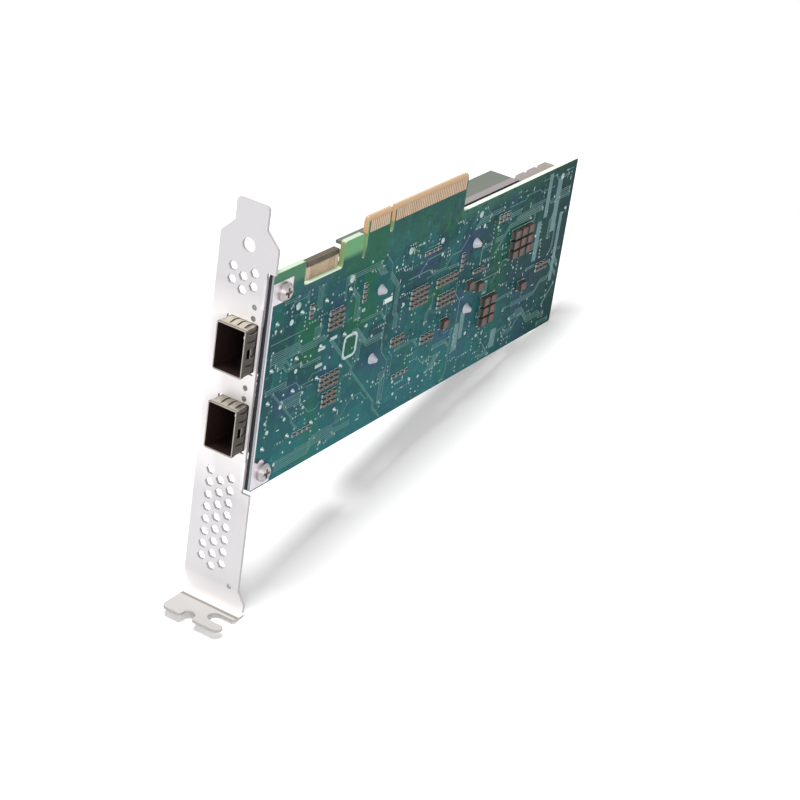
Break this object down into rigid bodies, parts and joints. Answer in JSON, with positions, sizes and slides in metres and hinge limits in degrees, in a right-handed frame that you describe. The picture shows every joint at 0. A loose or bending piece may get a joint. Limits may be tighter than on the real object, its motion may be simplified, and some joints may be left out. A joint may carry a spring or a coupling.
{
  "type": "network interface card",
  "caption": "Expansion card with a full-height slot bracket, two pluggable optical port cages, an edge connector and a finned heat sink on its component side.",
  "frame": {"origin": "centre of the key slot, on the line of the contact tips, at mid-thickness of the board", "axes": "+X from the bracket to the free end of the card, +Y towards the component side, +Z out of the card edge towards the slot that the card plugs into"},
  "size_m": [0.1791, 0.0207, 0.12],
  "materials": {
    "board": "green solder mask, satin gloss",
    "gold": "gold plate",
    "bracket": "bright nickel plate, satin",
    "screw": "zinc plate",
    "cage": "nickel plate",
    "collar": "tin plate",
    "connector": "matte black",
    "contact": "gold plate",
    "chip": "matte",
    "pad": "matte",
    "heat_sink": "clear anodised",
    "pin": "matte",
    "bobbin": "matte",
    "winding": "enamelled copper",
    "core": "sintered, matte",
    "light_pipe": "clear",
    "light": "clear",
    "inductor": "pressed powder, matte",
    "capacitor_can": "satin",
    "chip_body": "matte",
    "oscillator": "satin",
    "ceramic": "fired ceramic",
    "large_ceramic": "fired ceramic",
    "resistor": "glazed"
  },
  "bodies": {
    "root": {"circuit_board": "board", "edge_contacts_solder_side": "gold", "edge_contacts_component_side": "gold", "bracket": "bracket", "bracket_screws": "screw", "upper_port_cage": "cage", "lower_port_cage": "cage", "upper_port_spring_collar": "collar", "lower_port_spring_collar": "collar", "upper_port_connector": "connector", "lower_port_connector": "connector", "port_connector_contacts": "contact", "controller_chip": "chip", "thermal_pad": "pad", "heat_sink": "heat_sink", "heat_sink_push_pins": "pin", "choke_bobbin": "bobbin", "choke_winding": "winding", "choke_core": "core", "light_pipes": "light_pipe", "status_lights": "light", "power_inductors": "inductor", "polymer_capacitors": "capacitor_can", "voltage_regulators": "chip_body", "memory_chips": "chip_body", "oscillator_can": "oscillator", "chip_capacitors_component_side": "ceramic", "chip_capacitors_solder_side": "ceramic", "storage_capacitors_solder_side": "large_ceramic", "chip_resistors_solder_side": "resistor"}
  },
  "joints": []
}
